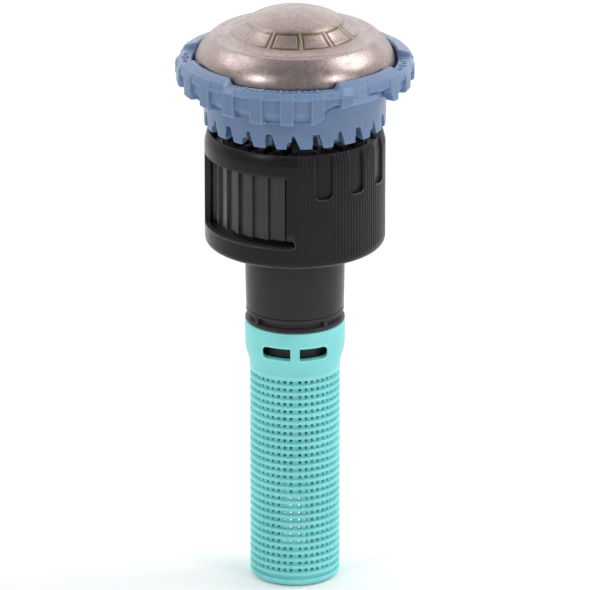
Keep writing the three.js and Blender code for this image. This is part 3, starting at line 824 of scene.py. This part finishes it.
def cover_section(angle):
    """The cover's section: rounded foot, fluted wall, chamfered rim and a smooth bore."""
    section = [(FLOOR_BORE, COVER_FOOT + 0.15), (FLOOR_BORE + 0.15, COVER_FOOT)]
    section += arc((COVER_R - COVER_ROUND, COVER_FOOT + COVER_ROUND), COVER_ROUND, -90, 0, 7)
    wall = steps(COVER_FOOT + 1.3, POCKET_FOOT - 0.4, 1.2)
    wall += steps(POCKET_FOOT - 0.3, POCKET_FOOT + 0.9, 0.08)
    wall += steps(POCKET_FOOT + 1.4, COVER_TOP - 1.4, 0.9)
    section += [(cover_radius(angle, z), z) for z in wall]
    chamfer, down = COVER_CHAMFER
    for z in (COVER_TOP - 1.2, COVER_TOP - 0.7, COVER_TOP - 0.12):
        lean = chamfer * (z - COVER_TOP + down) / down
        section.append((max(cover_radius(angle, z) - 0.85 * lean, COVER_BORE + 0.12), z))
    rim = max(cover_radius(angle, COVER_TOP) - chamfer, COVER_BORE + 0.07)
    section += [(rim, COVER_TOP), (COVER_BORE + 0.04, COVER_TOP), (COVER_BORE, COVER_TOP - 0.06)]
    floor = WINDOW_Z[0] - FLOOR_DROP
    section += [(COVER_BORE, z) for z in steps(COVER_TOP - 2.0, floor + 0.2, 3.0)]
    return section + [(COVER_BORE - 0.2, floor), (FLOOR_BORE, floor)]


def cover_cutters():
    """The windows onto the radius ring, each with a foot slot that runs a little further right."""
    cutters = []
    low, high = WINDOW_Z
    for side in (0.0, 180.0):
        start, end = side + WINDOW[0], side + WINDOW[1]
        main = rounded_columns(start, end, low, high, COVER_R, left=WINDOW_CORNER, right=WINDOW_CORNER)
        middle = (start + end) / 2
        main = [(angle, low if angle > middle else foot, head) for angle, foot, head in main]
        foot_end = side + WINDOW_FOOT_END
        slot = rounded_columns(end + 0.05, foot_end, low, low + WINDOW_FOOT_RISE, COVER_R, right=0.5)
        cutters.append(curved_block(main + slot, COVER_BORE - 0.35, COVER_R + 0.6))
    return cutters


piece("cover_shell", loft(fine_angles(0.35), cover_section), BLACK, "nozzle_body",
      ["nozzle_cover"], cover_cutters(), angle=24)

LIP_RADIUS = 0.11
LIP_R = COVER_R - 0.05
LIP_TURN = 3
SLOT_MIDDLE = WINDOW_Z[0] + WINDOW_FOOT_RISE / 2


def cover_lips():
    """Glossy rolled lips: along each window's foot and round its slot's end, and under each pocket."""
    parts = []
    turn_from = WINDOW_FOOT_END - LIP_TURN
    half_slot = WINDOW_FOOT_RISE / 2
    half_pocket = POCKET_HALF / PER_DEGREE
    for side in (0.0, 180.0):
        path = [(LIP_R, side + angle, WINDOW_Z[0]) for angle in steps(WINDOW[0] + 1, turn_from, 3)]
        for turned_by in steps(-90, 90, 15):
            a = math.radians(turned_by)
            angle = turn_from + LIP_TURN * math.cos(a)
            path.append((LIP_R, side + angle, SLOT_MIDDLE + half_slot * math.sin(a)))
        path.append((LIP_R, side + WINDOW[1] + 0.5, SLOT_MIDDLE + half_slot))
        parts.append(bead(path, LIP_RADIUS))
        for middle in POCKET_ANGLES:
            path = []
            for x in steps(-1, 1, 0.1):
                path.append((LIP_R, side + middle + half_pocket * x, POCKET_FOOT + 0.5 * abs(x) ** 4))
            parts.append(bead(path, LIP_RADIUS))
    return join(*parts)


piece("cover_lips", cover_lips(), GLOSS_BLACK, "nozzle_body", angle=60)

DRUM_R, DRUM_FOOT, DRUM_TOP = span("radius_ring")
DRUM_FACETS = 30
DRUM_STEP = 0.42
DRUM_FIRST = -6.9
DRUM_DROP = 0.07
DRUM_BORE = 9.2
DRUM_WEB_BORE = 6.65
DRUM_WEB = (57.35, 58.15)


def drum_section(angle):
    """The radius ring's section: a saw-tooth outside, a smooth bore and the web that reaches the neck."""
    pitch = 360 / DRUM_FACETS
    along = ((angle - DRUM_FIRST) % pitch) / pitch
    if along < DRUM_DROP:
        low = DRUM_STEP * (1 - DRUM_DROP)
        r = DRUM_R - low * smooth(along / DRUM_DROP)
    else:
        r = DRUM_R - DRUM_STEP * (1 - along)
    low, high = DRUM_WEB
    return [
        (DRUM_BORE + 0.15, DRUM_FOOT), (r - 0.12, DRUM_FOOT), (r, DRUM_FOOT + 0.12), (r, DRUM_TOP - 0.12),
        (r - 0.12, DRUM_TOP), (DRUM_BORE, DRUM_TOP), (DRUM_BORE, high), (DRUM_WEB_BORE, high),
        (DRUM_WEB_BORE, low), (DRUM_BORE, low), (DRUM_BORE + 0.15, low - 0.35),
    ]


drum_firsts = [DRUM_FIRST + 360 / DRUM_FACETS * n for n in range(DRUM_FACETS)]
drum_edges = [first + along for first in drum_firsts for along in (-0.02, 0.25, 0.55, 0.78)]
piece("radius_ring_drum", loft(fine_angles(1.25, drum_edges), drum_section), DRUM_BLACK, "radius_ring",
      ["radius_ring"], angle=20)

NECK_R = 6.4
NECK_BORE = 4.9
SPIGOT_R = 5.0
SPIGOT_BORE = 4.3
SPIGOT_FOOT = 31.0
NECK_FOOT = 37.0
FLANGE = (56.0, 57.0)
FLANGE_R = 9.0
NECK_TOP = 58.3
NOTCH_HALF = (6.7, 1.0)
NOTCH_Z = (55.1, 58.7)


def neck_section():
    """The neck's section: spigot, waist, tube, flange under the radius ring, and the bore."""
    low, high = FLANGE
    return [
        (SPIGOT_BORE, SPIGOT_FOOT), (SPIGOT_R - 0.1, SPIGOT_FOOT), (SPIGOT_R, SPIGOT_FOOT + 0.15),
        (SPIGOT_R, NECK_FOOT - 0.05), (5.9, NECK_FOOT - 0.05), (6.2, NECK_FOOT), (6.28, NECK_FOOT + 0.1),
        (6.3, NECK_FOOT + 0.4), (6.33, 39.0), (6.38, 42.0), (NECK_R, 44.0), (NECK_R, low), (FLANGE_R, low),
        (FLANGE_R, high), (NECK_R, high), (NECK_R, NECK_TOP), (NECK_BORE, NECK_TOP),
        (NECK_BORE, NECK_FOOT + 0.2), (SPIGOT_BORE, NECK_FOOT),
    ]


def lug_notch():
    """The notch through both walls of the neck's top, in which the throttle's lugs slide."""
    across, deep = NOTCH_HALF
    corners = [(-across, -deep), (across, -deep), (across, deep), (-across, deep)]
    verts = [(x * MM, y * MM, z * MM) for z in NOTCH_Z for x, y in corners]
    faces = [(0, 3, 2, 1), (4, 5, 6, 7), (0, 1, 5, 4), (1, 2, 6, 5), (2, 3, 7, 6), (3, 0, 4, 7)]
    return verts, faces


piece("neck_tube", revolve(neck_section()), CHARCOAL, "nozzle_body", ["inlet_neck"],
      [lug_notch()])

SOCKET_R = 9.0
SOCKET_TOP = 55.7
THREAD_BORE = 7.95
THREAD_PITCH = 25.4 / 28
THREAD_DEPTH = 0.42


def thread_section(angle):
    """The riser socket's section at an angle: each groove climbs one pitch in a turn."""
    low, high = COVER_FOOT, SOCKET_TOP
    first, last = low + 0.35, high - 1.3
    section = [
        (THREAD_BORE + 0.25, low), (SOCKET_R - 0.15, low), (SOCKET_R, low + 0.15), (SOCKET_R, high),
        (THREAD_BORE, high),
    ]
    for z in steps(last, first, 0.09):
        phase = (z / THREAD_PITCH - angle / 360.0) % 1.0
        fade = smooth((z - first) / 0.5) * smooth((last - z) / 0.5)
        section.append((THREAD_BORE - THREAD_DEPTH * (1 - abs(2 * phase - 1)) * fade, z))
    return section + [(THREAD_BORE + 0.05, low + 0.15)]


piece("riser_socket", loft(fine_angles(3.75), thread_section), BLACK, "nozzle_body",
      ["threaded_base"], angle=50)

COLLAR_R, COLLAR_FOOT, COLLAR_TOP = span("screen_collar")
COLLAR_DIVIDER = -51.4
COLLAR_DIVIDER_HALF = 2.4
COLLAR_BORE = 5.3
COLLAR_BEAD = 0.22
COLLAR_POCKET = 0.6


def collar_section(angle):
    """The collar's section: a bead at its foot and pockets between its four dividers."""
    off = abs(turn(0.0, (angle - COLLAR_DIVIDER) * 4)) / 4
    pocket = smooth((off - COLLAR_DIVIDER_HALF) / 0.6)
    wall = COLLAR_R - 0.04
    deep = wall - COLLAR_POCKET * pocket
    low, high = COLLAR_FOOT, COLLAR_TOP + 0.06
    return [
        (COLLAR_BORE, low), *arc((COLLAR_R - COLLAR_BEAD, low + COLLAR_BEAD), COLLAR_BEAD, -90, 75, 6),
        (wall - 0.1, low + 2 * COLLAR_BEAD), (wall - 0.12 * pocket, low + 0.5), (deep, low + 0.58),
        (deep, low + 0.95), (deep - 0.04 * pocket, low + 1.25), (wall - 0.24 * pocket, low + 1.3),
        (wall - 0.03 - 0.06 * pocket, low + 1.38), (wall - 0.08, low + 1.5), (wall - 0.1, high - 0.08),
        (wall - 0.22, high), (COLLAR_BORE, high),
    ]


piece("collar_ring", loft(fine_angles(1.0), collar_section), CHARCOAL, "nozzle_body",
      ["screen_collar"])

# ---------------------------------------------------------------- filter screen

SCREEN_BAND_R, _, _ = span("screen")
SCREEN_TOP = COLLAR_FOOT - 0.04
SCREEN_R = 5.84
SCREEN_GROOVE_R = 5.42
SCREEN_BORE = 5.05
SCREEN_TILT = 0.3
SCREEN_ROWS = 28
SCREEN_PITCH = 1.0
FIRST_ROW = 28.2
HOLE_HALF_HEIGHT = 0.22
HOLE_HALF_ANGLE = 1.95
HOLES_PER_QUARTER = 10
RIB_ANGLE = 0.55
RIB_HALF = 2.2
FIRST_HOLE = 6.05
BASKET_TOP = 29.0
BASKET_ROUND = 0.75
LOWEST_ROW = 0.76
GROOVE_EDGE = ((0.23, 0.9), (0.25, 0.5), (0.28, 0.18), (0.35, 0.04), (0.5, 0.0))


def basket_columns():
    """The basket's column edges as (angle, whether a hole starts there)."""
    spread = (90 - 2 * FIRST_HOLE) / (HOLES_PER_QUARTER - 1)
    columns = []
    for quarter in range(4):
        base = RIB_ANGLE + 90 * quarter
        columns += [(base - RIB_HALF, False), (base + RIB_HALF, False)]
        for k in range(HOLES_PER_QUARTER):
            middle = base + FIRST_HOLE + spread * k
            columns += [(middle - HOLE_HALF_ANGLE, True), (middle + HOLE_HALF_ANGLE, False)]
            if k < HOLES_PER_QUARTER - 1:
                columns.append((middle + spread / 2, False))
    return sorted(columns)


def basket_rows():
    """The basket's outer rows from foot to top as (z, radius, whether holes start there, hole line)."""
    rows = []
    for k in reversed(range(SCREEN_ROWS)):
        z = FIRST_ROW - k * SCREEN_PITCH
        open_row = k < SCREEN_ROWS - 1
        depth = SCREEN_R - SCREEN_GROOVE_R
        for dz, cut_in in reversed(GROOVE_EDGE):
            rows.append((max(z - dz, LOWEST_ROW), SCREEN_R - depth * cut_in, False, False))
        rows.append((z - HOLE_HALF_HEIGHT, SCREEN_GROOVE_R, open_row, True))
        rows.append((z + HOLE_HALF_HEIGHT, SCREEN_GROOVE_R, False, True))
        rows += [(z + dz, SCREEN_R - depth * cut_in, False, False) for dz, cut_in in GROOVE_EDGE[:-1]]
    rows.append((BASKET_TOP, SCREEN_R, False, True))
    return rows


def basket_point(r, angle, z):
    """A point of the basket: its grooves sit a little lower at the back than at the front."""
    back = (1 - math.cos(math.radians(angle))) / 2
    return polar(r, angle, z - SCREEN_TILT * back * smooth(z - 0.7) * smooth(BASKET_TOP - z))


def basket():
    """The screen's basket: ringed outside, smooth bore, and a square hole in every groove cell."""
    columns, rows = basket_columns(), basket_rows()
    inner_rows = [i for i, row in enumerate(rows) if row[3]]
    count = len(columns)
    verts = [basket_point(r, angle, z) for z, r, _, _ in rows for angle, _ in columns]
    inner_base = {}
    for i in inner_rows:
        inner_base[i] = len(verts)
        verts += [basket_point(SCREEN_BORE, angle, rows[i][0]) for angle, _ in columns]
    faces = []
    for i in range(len(rows) - 1):
        for j in range(count):
            k = (j + 1) % count
            a, b = i * count, (i + 1) * count
            if not (rows[i][2] and columns[j][1]):
                faces.append((a + j, a + k, b + k, b + j))
                continue
            ia, ib = inner_base[i], inner_base[i + 1]
            faces.append((a + j, a + k, ia + k, ia + j))
            faces.append((b + k, b + j, ib + j, ib + k))
            faces.append((b + j, a + j, ia + j, ib + j))
            faces.append((a + k, b + k, ib + k, ia + k))
    for i, i_next in zip(inner_rows, inner_rows[1:]):
        for j in range(count):
            k = (j + 1) % count
            if i_next == i + 1 and rows[i][2] and columns[j][1]:
                continue
            a, b = inner_base[i], inner_base[i_next]
            faces.append((a + k, a + j, b + j, b + k))
    top, inner_top = (len(rows) - 1) * count, inner_base[len(rows) - 1]
    faces += ring(top, inner_top, count)
    previous = 0
    for r, z in arc((SCREEN_R - BASKET_ROUND, BASKET_ROUND), BASKET_ROUND, 0, -90)[1:]:
        base = len(verts)
        verts += [polar(r, angle, z) for angle, _ in columns]
        faces += ring(base, previous, count)
        previous = base
    centre = len(verts)
    verts.append(polar(0, 0, 0))
    faces += [(previous + (j + 1) % count, previous + j, centre) for j in range(count)]
    lowest, floor = inner_rows[0], len(verts)
    inner_low = inner_base[lowest]
    verts.append(polar(0, 0, rows[lowest][0]))
    faces += [(inner_low + j, inner_low + (j + 1) % count, floor) for j in range(count)]
    return verts, faces


piece("screen_basket", basket(), TEAL, "nozzle_body", ["screen"], angle=35)

LATCH = (0.6, 4.14)
LATCH_Z = (31.45, 33.1)
LATCH_CORNER = 0.6
LATCH_CUT = (7.2, 3.2)


def latch_cutter(near, far, side):
    """A slot cut straight back through the wall, rounded at its far end; side is -1 at the front."""
    low, high = LATCH_Z
    sign = 1 if far > near else -1
    inset = far - sign * LATCH_CORNER
    outline = [(near, low), (inset, low)]
    for i in range(1, 8):
        turned_by = math.radians(-90 + 22.5 * i)
        middle = low + LATCH_CORNER if i < 4 else high - LATCH_CORNER
        x = inset + sign * LATCH_CORNER * math.cos(turned_by)
        outline.append((x, middle + LATCH_CORNER * math.sin(turned_by)))
    outline += [(inset, high), (near, high)]
    count = len(outline)
    verts = [(x * MM, side * y * MM, z * MM) for y in LATCH_CUT for x, z in outline]
    faces = [tuple(range(count)), tuple(reversed(range(count, 2 * count)))]
    faces += [(i, i + count, (i + 1) % count + count, (i + 1) % count) for i in range(count)]
    if sign * side > 0:
        faces = [tuple(reversed(f)) for f in faces]
    return verts, faces


def screen_band_cutters():
    """Two pairs of latch slots, at the front and the back."""
    near, far = LATCH
    return [latch_cutter(sign * near, sign * far, side) for side in (-1, 1) for sign in (-1, 1)]


BAND_CONE = [(0.0, 29.1), (0.01, 29.4), (0.08, 29.9), (0.26, 30.5), (0.46, 31.1)]
BAND_SOCKET_R = 5.33


def screen_band_section():
    """The screen's plain top: a rounded lip, the wide band and the cone down to the basket."""
    band, top, foot = SCREEN_BAND_R, SCREEN_TOP, BASKET_TOP - OVERLAP
    cone = [(SCREEN_R + out, z) for out, z in BAND_CONE] + [(band - 0.04, 31.7), (band, 32.2)]
    lip = [(band, 33.6), (band, top - 0.2), (band - 0.06, top - 0.05), (band - 0.2, top)]
    socket = BAND_SOCKET_R
    bore = [(socket + 0.12, top), (socket, top - 0.15), (socket, 30.4), (SCREEN_BORE, 29.6)]
    return [(SCREEN_BORE, foot), (SCREEN_R, foot), *cone, *lip, *bore]


piece("screen_band", revolve(screen_band_section()), TEAL, "nozzle_body",
      cutters=screen_band_cutters(), angle=30)

# ---------------------------------------------------------------- return spring

SPRING_R, SPRING_FOOT, SPRING_HEAD = span("return_spring")
SPRING_WIRE_R = 0.25
SPRING_TURNS = 13
SPRING_END_TURNS = 1.0


def spring_rise(turns):
    """The wire's height up the spring after some turns: the first and last turn lie closed."""
    closed = 2 * SPRING_WIRE_R * 1.06
    open_turns = SPRING_TURNS - 2 * SPRING_END_TURNS
    free = SPRING_HEAD - SPRING_FOOT - 2 * SPRING_WIRE_R - 2 * closed
    if turns < SPRING_END_TURNS:
        return closed * turns / SPRING_END_TURNS
    if turns > SPRING_TURNS - SPRING_END_TURNS:
        return closed + free + closed * (turns - SPRING_TURNS + SPRING_END_TURNS) / SPRING_END_TURNS
    return closed + free * (turns - SPRING_END_TURNS) / open_turns


def coil_spring(per_turn=28, sides=10):
    """A round wire wound on a helix, with flat closed ends."""
    mean = SPRING_R - SPRING_WIRE_R
    count = SPRING_TURNS * per_turn
    verts = []
    for i in range(count + 1):
        turns = i / per_turn
        z = SPRING_FOOT + SPRING_WIRE_R + spring_rise(turns)
        for j in range(sides):
            a = math.radians(360 * j / sides)
            out, up = SPRING_WIRE_R * math.cos(a), SPRING_WIRE_R * math.sin(a)
            verts.append(polar(mean + out, 360 * turns, z + up))
    faces = [tuple(range(sides)), tuple(reversed(range(count * sides, (count + 1) * sides)))]
    for i in range(count):
        a, b = i * sides, (i + 1) * sides
        faces += [(a + j, b + j, b + (j + 1) % sides, a + (j + 1) % sides) for j in range(sides)]
    return verts, faces


# Its head rests under its seat, so pulling the turret squeezes it upwards.
spring = piece("return_spring_coil", coil_spring(), SPRING_STEEL, "nozzle_body",
               ["return_spring"])
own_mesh(spring)

# ---------------------------------------------------------------- carried-over CAD nodes

CARRIED = {
    "riser_gasket": RUBBER, "nozzle_plate": CHARCOAL, "spring_seat": NATURAL, "throttle_ring": NATURAL,
    "arc_valve_sleeve": CHARCOAL, "shaft": STEEL, "lower_clip": STEEL, "spring_washer": STEEL,
    "thrust_washer": NATURAL, "brake_rotor": NATURAL, "top_clip": STEEL,
    "shaft_bushing": BRASS, "shaft_seal": RUBBER, "chamber_lid": NATURAL,
}
for node, material in CARRIED.items():
    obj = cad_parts[node]
    obj.data.materials.clear()
    obj.data.materials.append(material)
    shade(obj, 30)

# ---------------------------------------------------------------- studio and camera

FLOOR_HALF = 6.0
FLOOR_GAP = 0.00002
WORLD_SPAN = (-0.3, 0.95)
WORLD_LEVELS = (0.38, 1.45)
LIGHT_DISTANCE = 0.6
LIGHT_AIM = 0.05
# Name, azimuth, elevation, size in metres and power in watts.
LIGHTS = [
    ("left_softbox", -46.0, 30.0, 0.14, 0.7),
    ("right_softbox", 50.0, 31.0, 0.12, 0.52),
    ("left_card", -100.0, 48.0, 0.3, 0.6),
    ("right_card", 100.0, 48.0, 0.3, 1.2),
    ("low_fill", 62.0, 6.0, 0.3, 0.45),
]


def aim(holder, height, azimuth, elevation, distance):
    """Puts a light or camera at a distance from a point of the axis, facing it."""
    flat, up = math.radians(azimuth), math.radians(elevation)
    way = Vector((math.sin(flat) * math.cos(up), -math.cos(flat) * math.cos(up), math.sin(up)))
    holder.location = Vector((0, 0, height)) + way * distance
    holder.rotation_mode = "QUATERNION"
    holder.rotation_quaternion = (-way).to_track_quat("-Z", "Y")


def studio():
    """A pale floor, a world that is brighter behind the nozzle, and soft lights."""
    corners = [(x * FLOOR_HALF, y * FLOOR_HALF, 0) for x, y in ((-1, -1), (1, -1), (1, 1), (-1, 1))]
    floor = mesh_object("floor", (corners, [(0, 1, 2, 3)]))
    floor.location.z = -FLOOR_GAP
    floor.data.materials.append(white_floor())

    world = bpy.data.worlds.new("studio")
    bpy.context.scene.world = world
    world.use_nodes = True
    tree = world.node_tree
    place = tree.nodes.new("ShaderNodeTexCoord")
    split = tree.nodes.new("ShaderNodeSeparateXYZ")
    level = tree.nodes.new("ShaderNodeMapRange")
    level.interpolation_type = "SMOOTHSTEP"
    for socket, value in zip(("From Min", "From Max", "To Min", "To Max"), WORLD_SPAN + WORLD_LEVELS):
        level.inputs[socket].default_value = value
    tree.links.new(place.outputs["Generated"], split.inputs["Vector"])
    tree.links.new(split.outputs["Y"], level.inputs["Value"])
    tree.links.new(level.outputs["Result"], tree.nodes["Background"].inputs["Strength"])
    tree.nodes["Background"].inputs["Color"].default_value = (1.0, 1.0, 1.0, 1.0)

    for name, azimuth, elevation, size, power in LIGHTS:
        lamp = bpy.data.lights.new(name, "AREA")
        lamp.shape = "SQUARE"
        lamp.size = size
        lamp.energy = power
        aim(new_object(name, lamp), LIGHT_AIM, azimuth, elevation, LIGHT_DISTANCE)


ELEVATION = 20.2
DISTANCE = 0.836
AIM_HEIGHT = 0.0382
LENS = 397.0


def camera():
    """A long lens in front of the nozzle, a little above it."""
    data = bpy.data.cameras.new("camera")
    data.sensor_width = 36.0
    data.lens = LENS
    data.clip_start = 0.05
    data.clip_end = 20.0
    holder = new_object("camera", data)
    aim(holder, AIM_HEIGHT, 0.0, ELEVATION, DISTANCE)
    bpy.context.scene.camera = holder


studio()
camera()
bpy.context.scene.view_settings.view_transform = "Standard"
